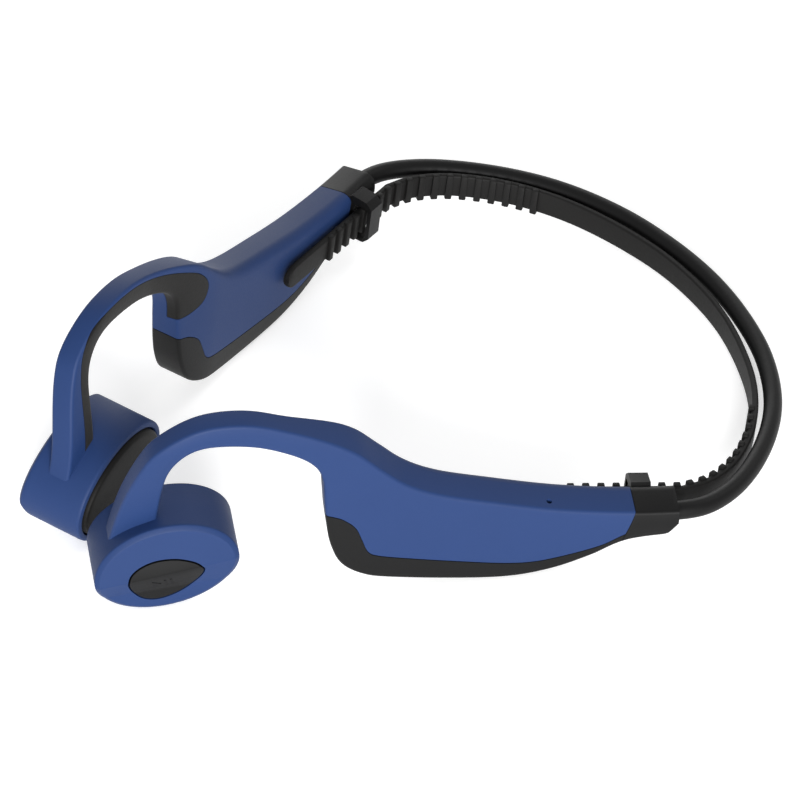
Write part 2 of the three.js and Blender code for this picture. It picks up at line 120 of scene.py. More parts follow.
def centripetal(points, per):
    """Smooth curve through unevenly spaced points, without loops or overshoot."""
    p = [np.asarray(q, float) for q in points]
    p = [2 * p[0] - p[1]] + p + [2 * p[-1] - p[-2]]
    out = []
    for i in range(1, len(p) - 2):
        q = p[i - 1:i + 3]
        t = [0.0]
        for k in range(3):
            t.append(t[-1] + max(np.linalg.norm(q[k + 1] - q[k]) ** 0.5, 1e-4))
        for u in np.linspace(t[1], t[2], per, endpoint=False):
            a = [((t[k + 1] - u) * q[k] + (u - t[k]) * q[k + 1]) / (t[k + 1] - t[k])
                 for k in range(3)]
            b = [((t[k + 2] - u) * a[k] + (u - t[k]) * a[k + 1]) / (t[k + 2] - t[k])
                 for k in range(2)]
            out.append(((t[2] - u) * b[0] + (u - t[1]) * b[1]) / (t[2] - t[1]))
    out.append(p[-2])
    return np.array(out)


def resample(path, step):
    """The same path in equal steps of about this length."""
    path = np.asarray(path, float)
    s = np.r_[0, np.cumsum(np.linalg.norm(np.diff(path, axis=0), axis=1))]
    n = max(2, int(round(s[-1] / step)) + 1)
    at = np.linspace(0, s[-1], n)
    return np.stack([np.interp(at, s, path[:, k]) for k in range(path.shape[1])], 1)


def grown(outline, by):
    """A closed 2-D outline moved outwards along its normals."""
    p = np.asarray(outline, float)
    ahead, back = np.roll(p, -1, 0) - p, p - np.roll(p, 1, 0)
    area = np.sum(p[:, 0] * np.roll(p[:, 1], -1) - np.roll(p[:, 0], -1) * p[:, 1])
    sign = 1 if area > 0 else -1
    n1 = np.stack([ahead[:, 1], -ahead[:, 0]], 1) * sign
    n2 = np.stack([back[:, 1], -back[:, 0]], 1) * sign
    n1 /= np.maximum(np.linalg.norm(n1, axis=1, keepdims=True), 1e-9)
    n2 /= np.maximum(np.linalg.norm(n2, axis=1, keepdims=True), 1e-9)
    m = (n1 + n2) / np.maximum(1 + np.sum(n1 * n2, 1), 0.4)[:, None]
    return p + m * np.broadcast_to(by, len(p))[:, None]


def round_rect(y0, y1, z0, z1, r, per=5):
    out = []
    for cy, cz, start in ((y1 - r, z1 - r, 0), (y0 + r, z1 - r, 90),
                          (y0 + r, z0 + r, 180), (y1 - r, z0 + r, 270)):
        for k in range(per + 1):
            a = math.radians(start + 90 * k / per)
            out.append((cy + r * math.cos(a), cz + r * math.sin(a)))
    return np.array(out)


def pill_outline(long, wide, x, y):
    return round_rect(y - long / 2, y + long / 2, x - wide / 2, x + wide / 2,
                      wide / 2 - 0.01, 10)


# ------------------------------------------------------------------ solids
def new_object(verts, faces, name="form"):
    mesh = bpy.data.meshes.new(name)
    mesh.from_pydata([tuple(map(float, v)) for v in verts], [], faces)
    bm = bmesh.new()
    bm.from_mesh(mesh)
    bmesh.ops.remove_doubles(bm, verts=bm.verts, dist=1e-5)
    bmesh.ops.recalc_face_normals(bm, faces=bm.faces)
    bm.to_mesh(mesh)
    bm.free()
    obj = bpy.data.objects.new(name, mesh)
    bpy.context.scene.collection.objects.link(obj)
    return obj


def drop_object(*objs):
    for obj in objs:
        mesh = obj.data
        bpy.data.objects.remove(obj)
        bpy.data.meshes.remove(mesh)


def copy_of(obj):
    twin = bpy.data.objects.new(obj.name, obj.data.copy())
    bpy.context.scene.collection.objects.link(twin)
    return twin


def applied(obj):
    """Bakes the modifiers into the mesh."""
    graph = bpy.context.evaluated_depsgraph_get()
    mesh = bpy.data.meshes.new_from_object(obj.evaluated_get(graph))
    obj.modifiers.clear()
    old, obj.data = obj.data, mesh
    bpy.data.meshes.remove(old)
    return obj


def boolean(obj, other, how):
    cut = obj.modifiers.new("cut", "BOOLEAN")
    cut.operation, cut.object, cut.solver = how, other, "EXACT"
    return applied(obj)


def carve(obj, other, how="DIFFERENCE"):
    """boolean() with a form that isn't needed afterwards."""
    boolean(obj, other, how)
    drop_object(other)
    return obj


def bevelled(obj, width, segments=2, angle=38):
    edge = obj.modifiers.new("edge", "BEVEL")
    edge.width, edge.segments, edge.limit_method = width, segments, "ANGLE"
    edge.angle_limit = math.radians(angle)
    edge.use_clamp_overlap = True
    return applied(obj)


def loft(rings):
    """Closed solid through rings of points, with flat ends."""
    verts, faces = [], []
    n = len(rings[0])
    for ring in rings:
        verts += list(ring)
    for r in range(len(rings) - 1):
        for k in range(n):
            a, b = r * n + k, r * n + (k + 1) % n
            faces.append((a, b, b + n, a + n))
    faces.append(tuple(range(n)))
    faces.append(tuple(range((len(rings) - 1) * n, len(rings) * n)))
    return new_object(verts, faces)


def prism(outline, x0, x1, r0=0.0, r1=0.0, steps=3):
    """A (y, z) outline given thickness along x, its ends rounded by r0 and r1."""
    rings = []
    for r, x, s in ((r0, x0, 1), (r1, x1, -1)):
        part = []
        for k in range(steps + 1 if r > 0 else 1):
            a = math.pi / 2 * (k / steps if r > 0 else 1)
            edge = grown(outline, -r * (1 - math.sin(a)))
            part.append(np.c_[np.full(len(edge), x + s * r * (1 - math.cos(a))), edge])
        rings += part if s > 0 else part[::-1]
    return loft(rings)


def edge_loop(n, m):
    """Grid indices once round the edge of an n by m grid."""
    return ([(i, 0) for i in range(n + 1)] + [(n, j) for j in range(1, m + 1)]
            + [(i, m) for i in range(n - 1, -1, -1)] + [(0, j) for j in range(m - 1, 0, -1)])


def grid_solid(first, rings, last):
    """Closed solid: a grid of points, rings of points down its side, a second grid."""
    n, m = first.shape[0] - 1, first.shape[1] - 1
    loop = edge_loop(n, m)
    verts = list(first.reshape(-1, 3))
    faces = [(i * (m + 1) + j, i * (m + 1) + j + 1, (i + 1) * (m + 1) + j + 1,
              (i + 1) * (m + 1) + j) for i in range(n) for j in range(m)]
    above = [i * (m + 1) + j for i, j in loop]
    for ring in rings:
        here = list(range(len(verts), len(verts) + len(ring)))
        verts += list(ring)
        faces += [(above[k], above[(k + 1) % len(loop)], here[(k + 1) % len(loop)], here[k])
                  for k in range(len(loop))]
        above = here
    base = len(verts)
    verts += list(last.reshape(-1, 3))
    here = [base + i * (m + 1) + j for i, j in loop]
    faces += [(above[k], above[(k + 1) % len(loop)], here[(k + 1) % len(loop)], here[k])
              for k in range(len(loop))]
    faces += [(base + i * (m + 1) + j, base + (i + 1) * (m + 1) + j,
               base + (i + 1) * (m + 1) + j + 1, base + i * (m + 1) + j + 1)
              for i in range(n) for j in range(m)]
    return new_object(verts, faces)


def moved(obj, matrix):
    obj.data.transform(matrix)
    if matrix.determinant() < 0:
        obj.data.flip_normals()
    return obj


# ------------------------------------------------------------------ materials
DRIFT_SCALE = 60                        # of the slow change in colour
GRAIN_DEPTH = 0.00005                   # metres


def node_material(name, colour, rough, grain, bump, vary=0.08, sheen=0.0, metal=0.0,
                  rough_vary=0.06, gloss=0.15):
    """Moulded finish: a fine grain in the bump, slow drift in colour and roughness. grain is
    the fine noise's scale, vary the share by which the colour drifts."""
    material = bpy.data.materials.new(name)
    material.use_nodes = True
    nodes, links = material.node_tree.nodes, material.node_tree.links
    shader = nodes["Principled BSDF"]
    where = nodes.new("ShaderNodeTexCoord")
    fine = nodes.new("ShaderNodeTexNoise")
    fine.inputs["Scale"].default_value = grain
    fine.inputs["Detail"].default_value = 4
    slow = nodes.new("ShaderNodeTexNoise")
    slow.inputs["Scale"].default_value = DRIFT_SCALE
    slow.inputs["Detail"].default_value = 3
    links.new(where.outputs["Object"], fine.inputs["Vector"])
    links.new(where.outputs["Object"], slow.inputs["Vector"])
    tint = nodes.new("ShaderNodeMix")
    tint.data_type = "RGBA"
    tint.inputs["A"].default_value = (*[c * (1 - vary) for c in colour], 1)
    tint.inputs["B"].default_value = (*[min(1, c * (1 + vary)) for c in colour], 1)
    links.new(slow.outputs["Fac"], tint.inputs["Factor"])
    links.new(tint.outputs["Result"], shader.inputs["Base Color"])
    spread = nodes.new("ShaderNodeMapRange")
    spread.inputs["To Min"].default_value = rough - rough_vary
    spread.inputs["To Max"].default_value = rough + rough_vary
    links.new(fine.outputs["Fac"], spread.inputs["Value"])
    links.new(spread.outputs["Result"], shader.inputs["Roughness"])
    relief = nodes.new("ShaderNodeBump")
    relief.inputs["Strength"].default_value = bump
    relief.inputs["Distance"].default_value = GRAIN_DEPTH
    links.new(fine.outputs["Fac"], relief.inputs["Height"])
    links.new(relief.outputs["Normal"], shader.inputs["Normal"])
    shader.inputs["Metallic"].default_value = metal
    shader.inputs["Specular IOR Level"].default_value = 0.5 if metal else gloss
    if sheen:
        shader.inputs["Sheen Weight"].default_value = sheen
        shader.inputs["Sheen Roughness"].default_value = 0.5
    return material


BLUE = node_material("soft_blue", (0.0118, 0.0295, 0.098), 0.54, 2600, 0.30, 0.05)
BLACK = node_material("matt_black", (0.0036, 0.0036, 0.0037), 0.46, 2400, 0.35, 0.08)
SOFT = node_material("soft_black", (0.0052, 0.0049, 0.0046), 0.62, 1800, 0.55, 0.10, 0.05)
RUBBER = node_material("band_rubber", (0.0040, 0.0040, 0.0041), 0.50, 1500, 0.5, 0.10)
STRAP = node_material("strap_rubber", (0.0062, 0.0060, 0.0058), 0.58, 1700, 0.6, 0.12)
MARK = node_material("mark_black", (0.002, 0.002, 0.0022), 0.40, 2000, 0.3)
STEEL = node_material("plain_steel", (0.55, 0.56, 0.57), 0.32, 3000, 0.3, 0.04, 0, 1)
COPPER = node_material("coil_copper", (0.62, 0.27, 0.10), 0.38, 5000, 0.8, 0.10, 0, 1)
BOARD = node_material("board_green", (0.010, 0.085, 0.030), 0.45, 1500, 0.4, 0.15)
FOIL = node_material("cell_foil", (0.60, 0.61, 0.63), 0.42, 900, 0.8, 0.05, 0, 0.8)
WHITE = node_material("floor_pale", (0.92, 0.92, 0.92), 0.8, 40, 0.0, 0.01)


def emit(form, name, side, material, body=None, nodes=(), matrix=None, angle=34,
         between=None):
    """Places a copy of a form on one side and attaches it to a body; a piece given between is
    only baked in place, attached to no body. Edges sharper than angle in degrees stay sharp. A
    form is in the arm's frame unless matrix says otherwise."""
    obj = copy_of(form)
    obj.name = obj.data.name = f"{side}_{name}" if side else name
    base = ROW @ (MIRROR if side == "right" else Matrix.Identity(4))
    moved(obj, base @ (ARM if matrix is None else matrix))
    obj.data.materials.clear()
    obj.data.materials.append(material)
    for polygon in obj.data.polygons:
        polygon.use_smooth = True
    obj.data.set_sharp_from_angle(angle=math.radians(angle))
    if between:
        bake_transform(obj)
    else:
        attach(obj, body)
    if nodes:
        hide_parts(*nodes)


# ------------------------------------------------------------------ the arm
# (y, z) of its upper and lower outline, from the foot of the hook to past its rear end.
CROWN = [
    (-62.4, -1), (-60.4, 11), (-58.1, 19.2), (-55.6, 23.6), (-50.6, 27.7), (-45.2, 29.8),
    (-38, 30.2), (-30, 28.4), (-22.5, 25.8), (-17, 23), (-11.8, 18.9), (-6.5, 15.3),
    (0, 12.9), (10, 11), (24, 8.9), (ARM_END, 8.1), (50, 8.4),
]
BELLY = [
    (-53.6, -1), (-53.5, 11), (-52.9, 17.5), (-51, 21.6), (-47.8, 24.2), (-43, 25.1),
    (-36, 24.7), (-29, 22.5), (-25, 19.9), (-23.2, 16.5), (-22.4, 11.5), (-21.4, 5.5),
    (-20, 0.4), (-17.6, -3.9), (-13.5, -6.4), (-8, -7.4), (6, -7.9), (16, -7.5),
    (24, -5.6), (31, -2.5), (ARM_END, 1.3), (50, 3.0),
]
BELLY_OF_CROWN = [0, 1, 2, 3, 4, 5, 6, 7, 8.3, 9.3, 10.6, 12, 14, 16, 18, 20, 21]
LINER_EDGE = [
    (-57.2, -4), (-56.6, 11), (-56, 18.5), (-54.4, 24), (-50.6, 27.6), (-45, 29.3),
    (-37.5, 29.3), (-29.5, 27.2), (-23, 24.4), (-17.4, 21), (-14.6, 17), (-15.6, 13.4),
    (-19.5, 12.2), (-24, 12.6)]
LINER_BACK = [
    (-49, -4), (-49, 8), (-49, 13), (-49, 16), (-47, 16), (-44, 16), (-37, 16), (-30, 16),
    (-27, 16), (-25.4, 16), (-24.8, 15.5), (-24.6, 15), (-24.4, 14.4), (-24.2, 13.8)]
SEAM = spline([
    (-30, 9.4), (-20.6, 8), (-17.6, 6.8), (-15.6, 5), (-14.2, 2.2), (-12.8, -0.6),
    (-10.6, -1.7), (-4, -2.5), (5, -3.3), (14, -3.9), (20, -3.6), (26, -2.1), (32.5, 0.2),
    (36.4, 2.6), (ARM_END + 4, 6)], 6)


def arm_thick(y):
    return HOOK_THICK + (HOUSING_THICK - HOOK_THICK) * ramp(y, *THICKEN_Y)


def arm_warp(yz, inward, from_inner=False):
    """(y, z) points at a depth in mm under the outer face, or above the inner face."""
    y, z = yz[..., 0], yz[..., 1]
    housing, thick = ramp(y, *THICKEN_Y), arm_thick(y)
    lift = (HOOK_LIFT + (HOUSING_LIFT - HOOK_LIFT) * housing) * ramp(z, -7, 8)
    lean = -HOOK_LEAN * ramp(z, 26, 0) * ramp(y, -40, -50)
    depth = thick - inward if from_inner else np.broadcast_to(inward, y.shape)
    return np.stack([lean - depth, y, z + depth / thick * lift], -1)


def ruled(one, two, m, inset):
    """Grid of points between two rails, drawn in by inset, and the rails' own outline."""
    across = np.linspace(0, 1, m + 1)[None, :, None]
    whole = one[:, None] * (1 - across) + two[:, None] * across
    loop = edge_loop(len(one) - 1, m)
    outline = np.array([whole[i, j] for i, j in loop])
    place = {ij: k for k, ij in enumerate(loop)}
    edge = grown(outline, -inset)
    c = np.array([edge[place[(i, 0)]] for i in range(len(one))])
    b = np.array([edge[place[(i, m)]] for i in range(len(one))])
    return c[:, None] * (1 - across) + b[:, None] * across, outline


def arm_form(round_by=0.7, soft=2.7, swell=0.22, steps=5):
    """The whole arm with rounded edges and barely crowned faces, past its rear end. The
    housing's top edge is rounded off softly on its inner side."""
    n, m = 200, 12
    end = len(CROWN) - 1
    t = np.r_[0, np.linspace(0.25, end - 0.25, n - 1), end]
    crown = spline_at(CROWN, t)
    belly = spline_at(BELLY, np.interp(t, range(len(CROWN)), BELLY_OF_CROWN))
    _, outline = ruled(crown, belly, m, 0)
    inner = np.full(len(outline), round_by)
    inner[:n + 1] += (soft - round_by) * ramp(crown[:, 0], -24, 2)
    crowning = swell * np.sin(np.pi * np.linspace(0, 1, m + 1))[None, :] ** 0.8
    first = arm_warp(ruled(crown, belly, m, round_by)[0], 0.0)
    last = arm_warp(ruled(crown, belly, m, inner)[0], 0.0, True)
    first[..., 0] += crowning
    last[..., 0] -= 0.5 * crowning
    turns = [math.pi / 2 * k / steps for k in range(1, steps + 1)]
    rings = [arm_warp(grown(outline, -round_by * (1 - math.sin(a))),
                      round_by * (1 - math.cos(a))) for a in turns]
    rings += [arm_warp(grown(outline, -inner * (1 - math.sin(a))),
                       inner * (1 - math.cos(a)), True) for a in turns[::-1]]
    return grid_solid(first, rings, last)


def liner_block(inset, top):
    """Block behind the inner side of the hook, up to the liner's share of its thickness."""
    n = (len(LINER_EDGE) - 1) * 9
    t = np.linspace(0, len(LINER_EDGE) - 1, n + 1)
    back = np.stack([np.interp(t, range(len(LINER_BACK)), [p[k] for p in LINER_BACK])
                     for k in (0, 1)], 1)
    face, _ = ruled(spline_at(LINER_EDGE, t), back, 8, inset)
    deep = (1 - LINER_SHARE) * arm_thick(face[..., 0]) + top
    return grid_solid(arm_warp(face, deep), [], arm_warp(face, -6.0, True))


def below_seam(offset):
    """Everything under the seam between the coloured shell and the lower shell."""
    line = SEAM + np.array([0, offset])
    return prism(np.r_[line, [(ARM_END + 4, -40), (-30, -40)]], *CUT_X)


def block_to(y):
    """Everything in front of y."""
    return prism(np.array([(-90, -CUT_Z), (y, -CUT_Z), (y, CUT_Z), (-90, CUT_Z)]), *CUT_X)


arm = arm_form()
liner_cut, liner_keep = liner_block(0, 0), liner_block(LINER_GAP, LINER_GAP)
seam_up, seam_down = below_seam(SEAM_GAP), below_seam(-SEAM_GAP)
front = carve(copy_of(arm), block_to(ARM_END + 3), "INTERSECT")
collar_line = np.array([
    (ARM_END - 1.5, -3), (ARM_END - 1.5, 1.1), (ARM_END + 0.5, 8.1), (ARM_END - 0.3, 12),
    (46.6, 12), (47.2, 7.6), (47.2, 5.6), (45.6, 3.2), (43.0, 1.9), (41.5, -3)])
front = carve(front, prism(grown(collar_line, COLLAR_GAP), *CUT_X))
shell = boolean(boolean(copy_of(front), seam_up, "DIFFERENCE"), liner_cut, "DIFFERENCE")
lower = boolean(front, seam_down, "INTERSECT")
liner = boolean(boolean(copy_of(arm), liner_keep, "INTERSECT"), seam_up, "DIFFERENCE")
drop_object(liner_cut, liner_keep, seam_up, seam_down)

# Collar: closes the arm, grips the neckband and carries the strap's keeper.
collar = bevelled(carve(arm, prism(collar_line, *CUT_X), "INTERSECT"), 0.3, 2, 40)
KEEPER_Y = (ARM_END + 0.6, 42.6)
keeper_line = np.array([
    (-12.6, 0.5), (-11.4, -0.7), (-7.6, -0.7), (-6.8, 0.2), (-6.8, 8.4), (-7.8, 9.4),
    (-11.2, 9.0), (-12.6, 7.6)])
keeper = loft([np.c_[keeper_line[:, 0], np.full(len(keeper_line), y), keeper_line[:, 1]]
               for y in KEEPER_Y])
slot_line = round_rect(-11.75, -8.55, -0.05, 7.4, 0.7)
slot_cut = loft([np.c_[slot_line[:, 0], np.full(len(slot_line), y), slot_line[:, 1]]
                 for y in (KEEPER_Y[0] - 9, KEEPER_Y[1] + 7)])
circle = [(math.cos(a), math.sin(a)) for a in np.linspace(0, 2 * math.pi, 40, endpoint=False)]
bore = loft([np.array([(BAND_X + BORE_R * c, y, BAND_Z + BORE_R * s) for c, s in circle])
             for y in (41.2, 52.0)])
collar = boolean(collar, keeper, "UNION")
collar = boolean(collar, slot_cut, "DIFFERENCE")
collar = bevelled(collar, 0.25, 2, 55)
collar = boolean(collar, bore, "DIFFERENCE")
drop_object(keeper, slot_cut, bore)

# Microphone port in the left arm's top facet.
PORT_X, PORT_Y, PORT_R = -2.1, 21.7, 0.55
port = loft([np.array([(PORT_X + PORT_R * c, PORT_Y + PORT_R * s, z) for c, s in circle])
             for z in (5.0, 20.0)])
left_shell = boolean(copy_of(shell), port, "DIFFERENCE")
drop_object(port)

# ------------------------------------------------------------------ the pods
# The outer face is three facets. They meet at a ridge and at a fold below it.
RIDGE, FOLD = -0.3, -4.9
ROOF = [(-12, -1.4), (FOLD, -0.95), (RIDGE, 0.5), (12, -0.75)]
# The ridge and the fold run slightly downwards to the rear.
SLANT = [(-10, 0), (FOLD, -0.14), (RIDGE, -0.07), (10, 0)]


def roof(v):
    """Height of the outer face, slightly softened at the ridge and the fold."""
    v = np.asarray(v, float)
    return sum(np.interp(v + d, *zip(*ROOF)) for d in (-0.16, -0.08, 0, 0.08, 0.16)) / 5


def slant(v, a):
    """How far a row of the face has dropped at a, along the pod."""
    return np.interp(v, *zip(*SLANT)) * a


def pod_form():
    """Oval cup with a ridged outer face and a recess for the pad in its inner face."""
    inner = POD_B - RIM
    rows = list(np.sin(np.radians(np.linspace(-88, 88, 96))) * inner)
    rows = [v for v in rows if min(abs(v - RIDGE), abs(v - FOLD)) > 0.5]
    rows += [c + d for c in (RIDGE, FOLD) for d in (-0.45, -0.3, -0.15, 0, 0.15, 0.3, 0.45)]
    v = np.array(sorted(rows))
    n, m = len(v) - 1, 20
    ends = []
    for way in (-1, 1):
        a = way * (POD_A - RIM) * np.sqrt(1 - (v / inner) ** 2)
        for _ in range(20):
            high = np.clip((v + slant(v, a)) / inner, -1, 1)
            a = way * (POD_A - RIM) * np.sqrt(np.maximum(1 - high ** 2, 1e-6))
        ends.append(a)
    share = np.linspace(0, 1, m + 1)[None, :]
    a = ends[0][:, None] * (1 - share) + ends[1][:, None] * share
    vv = v[:, None] + slant(v, 1.0)[:, None] * a
    face = np.stack([np.repeat(roof(v)[:, None], m + 1, 1), a, vv], -1)
    rim = np.array([face[i, j] for i, j in edge_loop(n, m)])

    def ring(inset, x):
        out = rim.copy()
        out[:, 1] *= (POD_A - inset) / (POD_A - RIM)
        out[:, 2] *= (POD_B - inset) / (POD_B - RIM)
        out[:, 0] = x
        return out

    low = rim[:, 0]
    profile = [(0.93, low - 0.01), (0.84, low - 0.06), (0.14, low - 0.60),
               (0.05, low - 0.70), (0, low - 0.84), (0, low - 1.4), (0, -6.5),
               (0, -13.2), (0.06, -13.55), (0.22, -13.82), (0.5, -13.95), (0.95, -14),
               (1.2, -13.95), (1.32, -13.8), (1.35, POD_FLOOR_X)]
    floor = face.copy()
    floor[..., 0] = POD_FLOOR_X
    floor[..., 1] *= (POD_A - 1.5) / (POD_A - RIM)
    floor[..., 2] *= (POD_B - 1.5) / (POD_B - RIM)
    return grid_solid(face, [ring(i, x) for i, x in profile], floor)


DROP = [(5.3, 0.5), (6.5, -1.0), (6.6, -2.2), (5.3, -3.8), (2.6, -5.6), (-0.6, -6.6),
        (-3.6, -6.7), (-5.9, -5.7), (-7.2, -3.9), (-7.7, -1.8), (-7.5, 0.0), (-6.4, 1.6),
        (-4.1, 2.7), (-1.1, 3.0), (2.4, 2.2)]


def drop_line(g=0.0):
    """Drop outline: round at the front, drawn to a blunt tip towards the ear."""
    per = 7
    line = spline(DROP[-3:] + DROP + DROP[:3], per)[3 * per:]
    return grown(line[:len(DROP) * per], g)


def button_form():
    """Drop-shaped button whose top follows the pod's face."""
    v = np.r_[np.linspace(-9, -5.5, 4), np.linspace(-5.2, -4.6, 5), np.linspace(-4, -1.0, 5),
              np.linspace(-0.6, 0.0, 5), np.linspace(0.6, 9, 6)]
    line = np.r_[np.c_[roof(v) + BUTTON_PROUD, v], [(-20, 9), (-20, -9)]]
    top = loft([np.c_[line[:, 0], np.full(len(line), a), line[:, 1] + slant(line[:, 1], a)]
                for a in (-12, 12)])
    cap = boolean(prism(drop_line(), BUTTON_X, 3), top, "INTERSECT")
    drop_object(top)
    return bevelled(cap, 0.24, 3, 50)


def mark_form():
    """Generic play triangle and two pause bars, barely raised on the lower facet."""
    pieces = [[(-3.5, -4.0), (-3.5, -2.0), (-1.9, -3.0)],
              [(-1.2, -3.9), (-0.75, -3.9), (-0.75, -2.1), (-1.2, -2.1)],
              [(-0.1, -3.9), (0.35, -3.9), (0.35, -2.1), (-0.1, -2.1)]]
    verts, faces = [], []
    for outline in pieces:
        base, n = len(verts), len(outline)
        for lift in (-MARK_SUNK, MARK_PROUD):
            verts += [(float(roof(v)) + BUTTON_PROUD + lift, a, v + slant(v, a))
                      for a, v in outline]
        faces += [tuple(range(base, base + n)), tuple(range(base + n, base + 2 * n))]
        faces += [(base + k, base + (k + 1) % n, base + n + (k + 1) % n, base + n + k)
                  for k in range(n)]
    return new_object(verts, faces)


def pad_form():
    """Slightly crowned oval pad, with its round edge towards the cheekbone."""
    a0, b0 = POD_A - PAD_INSET, POD_B - PAD_INSET
    rings = []
    turn = np.linspace(0, 2 * math.pi, 96, endpoint=False)
    for inset, x in ((0, -12.3), (0, -13.9), (0.05, -14.25), (0.2, -14.52), (0.45, -14.68),
                     (0.8, -14.76), (2.2, -14.88), (4.4, -14.97), (6.6, -15.0)):
        rings.append(np.array([(x, (a0 - inset) * math.cos(t), (b0 - inset) * math.sin(t))
                               for t in turn]))
    return loft(rings)


pod = pod_form()
hole = prism(drop_line(HOLE_GAP), HOLE_X, 6)
pod = boolean(pod, hole, "DIFFERENCE")
drop_object(hole)
button, mark, pad = button_form(), mark_form(), pad_form()

# ------------------------------------------------------------------ right underside
VOLUME_Y = (3.4, 10.4)
SOCKET_Y = -5.2
POCKET_LOW, POCKET_TOP, RECESS_TOP = -10, -4.0, -6.55
CAP_LOW, CAP_TOP, CAP_ROUND = -8.25, -4.75, 0.45
SIGN_LONG, SIGN_WIDE, SIGN_ROUND, SIGN_TOP = 0.75, 0.14, 0.08, -8.1


def upright(outline, z0, z1, r0=0.0, r1=0.0):
    """A plan outline of (y, x) pairs given height, its ends rounded."""
    form = prism(outline, z0, z1, r0, r1)
    for vertex in form.data.vertices:
        z, y, x = vertex.co
        vertex.co = (x, y, z)
    form.data.flip_normals()
    return form


def bar_line(y, along, across, r):
    """Rounded rectangle about the middle of the underside, from its half sizes."""
    return round_rect(y - along, y + along, BAND_X - across, BAND_X + across, r)


# Pockets for the charging socket, its cover and the two volume buttons.
right_lower = copy_of(lower)
carve(right_lower, upright(pill_outline(9.0, 3.4, BAND_X, SOCKET_Y), POCKET_LOW, POCKET_TOP))
carve(right_lower, upright(round_rect(-11.3, 0.3, BAND_X - 2.4, BAND_X + 2.4, 0.6),
                           POCKET_LOW, RECESS_TOP))
for y in VOLUME_Y:
    carve(right_lower, upright(pill_outline(5.4, 2.8, BAND_X, y), POCKET_LOW, POCKET_TOP))

# Volume buttons with a raised plus and minus.
volume_caps = []
for y, plus in zip(VOLUME_Y, (True, False)):
    cap = upright(pill_outline(5.0, 2.4, BAND_X, y), CAP_LOW, CAP_TOP, CAP_ROUND, 0)
    carve(cap, upright(bar_line(y, SIGN_LONG, SIGN_WIDE, SIGN_ROUND), -8.38, SIGN_TOP), "UNION")
    if plus:
        carve(cap, upright(bar_line(y, SIGN_WIDE, SIGN_LONG, SIGN_ROUND), -8.36, SIGN_TOP),
              "UNION")
    volume_caps.append(cap)
cover = upright(round_rect(-11.1, 0.1, BAND_X - 2.2, BAND_X + 2.2, 0.6), -7.72, -6.7, 0.3, 0.15)
tab = upright(round_rect(-11.0, -9.6, BAND_X - 1.0, BAND_X + 1.0, 0.3), -7.95, -7.5, 0.15, 0)
carve(cover, tab, "UNION")


# ------------------------------------------------------------------ neckband and strap
def arm_point(x, y):
    p = ARM @ Vector((x, y, 0))
    return (p.x, p.y)


def half_path(points):
    """The left half of a curve that is level where it crosses the middle."""
    per = 14
    mirrored = [(-x, y) for x, y in reversed(points[:-1])]
    dense = centripetal(points + mirrored, per)
    return dense[:(len(points) - 1) * per + 1]


BAND_MIDDLE, STRAP_MIDDLE = (0, 73.6), (0, 69.9)
band_half = half_path([
    arm_point(BAND_X, 41.6), arm_point(BAND_X, 47.6), (58.3, 32.4), (56, 41), (48.8, 52.2),
    (38.7, 61.9), (26, 68.8), (13, 72.35), BAND_MIDDLE])
strap_half = half_path([
    arm_point(STRAP_X - STRAP_THICK / 2, 49.6), (53.1, 36.4), (50.9, 43.4), (46.2, 50.4),
    (39.6, 56.8), (29.6, 63), (13, 68.6), STRAP_MIDDLE])
# Straight lead-in along the arm's inner face, from the rounded free end to the keeper.
STRAP_STEP = 0.7
strap_start = arm_point(STRAP_X - STRAP_THICK / 2, 12.6)
strap_full = np.r_[resample(np.array([strap_start, strap_half[0]]), STRAP_STEP)[:-1],
                   resample(strap_half, STRAP_STEP)]


def swept(path, section_at):
    """Sections of (across, up) pairs set square to a level path, one at each of its points."""
    tangent = np.gradient(path, axis=0)
    tangent /= np.linalg.norm(tangent, axis=1, keepdims=True)
    if abs(path[-1][0]) < 1e-6:
        tangent[-1] = (-1, 0)
    across = np.stack([-tangent[:, 1], tangent[:, 0]], 1)
    return loft([np.array([(p[0] + a[0] * u, p[1] + a[1] * u, z) for u, z in section_at(k)])
                 for k, (p, a) in enumerate(zip(path, across))])


tube = [(BAND_R * c, BAND_Z + BAND_R * s) for c, s in circle[::-1]]
band_form = swept(resample(band_half, 0.9), lambda k: tube)

# Strap section: across is positive towards the inside of the loop.
strip = round_rect(-STRAP_THICK / 2, STRAP_THICK / 2, STRAP_LOW, STRAP_HIGH,
                   STRAP_ROUND, 4)
length = np.r_[0, np.cumsum(np.linalg.norm(np.diff(strap_full, axis=0), axis=1))]


def strap_at(s):
    return np.array([np.interp(s, length, strap_full[:, k]) for k in (0, 1)])


